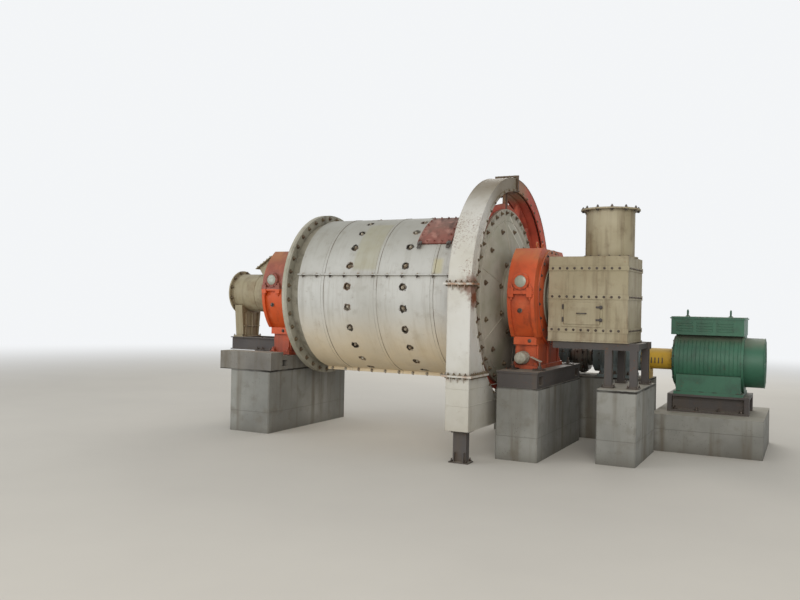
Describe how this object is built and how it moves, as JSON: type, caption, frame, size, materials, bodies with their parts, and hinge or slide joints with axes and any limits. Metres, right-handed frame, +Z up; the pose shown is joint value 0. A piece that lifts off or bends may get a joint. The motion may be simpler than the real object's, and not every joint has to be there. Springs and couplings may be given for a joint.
{
  "type": "ball mill",
  "caption": "Horizontal grinding drum on two trunnion bearings, turned through a girth gear and pinion, with spout, hood, guard, drive and plinths.",
  "frame": {"origin": "on the floor under the plinth of the feed bearing, on the vertical plane through the drum's axis", "axes": "+X along the drum's axis from the feed end to the gear end, +Y to the drive side, +Z up"},
  "size_m": [7.764, 4.0799, 3.706],
  "materials": {
    "concrete": "cast concrete, stained",
    "grout": "grey grout",
    "dark_steel": "dark painted steel, dusty",
    "orange_casting": "orange paint on castings, worn",
    "shell_steel": "grey primer on plate",
    "head_paint": "cream grey paint, dusty",
    "jacket_paint": "cream grey paint on sheet, stained",
    "red_primer": "dull red primer, streaked",
    "gear_primer": "red primer",
    "cream_paint": "cream paint on plate, rusted at the joints",
    "machined_steel": "oiled machined steel",
    "grey_casting": "grey painted castings",
    "yellow_paint": "yellow paint on plate",
    "green_paint": "green enamel",
    "tan_paint": "tan paint on plate with rust streaks"
  },
  "bodies": {
    "root": {"feed_plinth": "concrete", "discharge_plinth": "concrete", "hood_plinth": "concrete", "drive_plinth": "concrete", "motor_plinth": "concrete", "feed_sole_block": "grout", "discharge_base_box": "dark_steel", "feed_bearing_housing": "orange_casting", "feed_bearing_cap": "orange_casting", "discharge_bearing_housing": "orange_casting", "discharge_bearing_cap": "orange_casting", "guard_arch_front": "cream_paint", "guard_arch_back": "gear_primer", "guard_side_front": "cream_paint", "guard_side_back": "cream_paint", "guard_sump": "cream_paint", "guard_legs": "dark_steel", "pinion_cover": "cream_paint", "pinion_bearing_inner": "grey_casting", "pinion_bearing_outer": "grey_casting", "reducer": "grey_casting", "coupling_guard": "yellow_paint", "motor_frame": "dark_steel", "motor_body": "green_paint", "motor_cooler": "green_paint", "feed_spout": "tan_paint", "feed_flange": "tan_paint", "feed_chute": "tan_paint", "spout_pedestal": "tan_paint", "spout_frame": "dark_steel", "discharge_hood": "tan_paint", "hood_stand": "dark_steel", "exhaust_duct": "tan_paint"},
    "drum": {"drum_shell": "shell_steel", "feed_head": "head_paint", "discharge_head": "head_paint", "lagging_upper_front": "jacket_paint", "lagging_upper_back": "jacket_paint", "lagging_lower_front": "jacket_paint", "lagging_lower_back": "jacket_paint", "manhole_cover": "red_primer", "girth_gear_front": "gear_primer", "girth_gear_back": "gear_primer"},
    "pinion_shaft": {"pinion": "machined_steel", "pinion_coupling": "machined_steel"}
  },
  "joints": [
    {"name": "drum_spin", "type": "hinge", "parent": "root", "child": "drum", "pos_m": [2.139, 0, 2.04], "axis": [1, 0, 0], "continuous": true},
    {"name": "pinion_spin", "type": "hinge", "parent": "root", "child": "pinion_shaft", "pos_m": [3.56, 1.57688, 1.19714], "axis": [1, 0, 0], "continuous": true}
  ],
  "couplings": [
    {"joint": "pinion_spin", "follows": "drum_spin", "ratio": -6.0952}
  ]
}
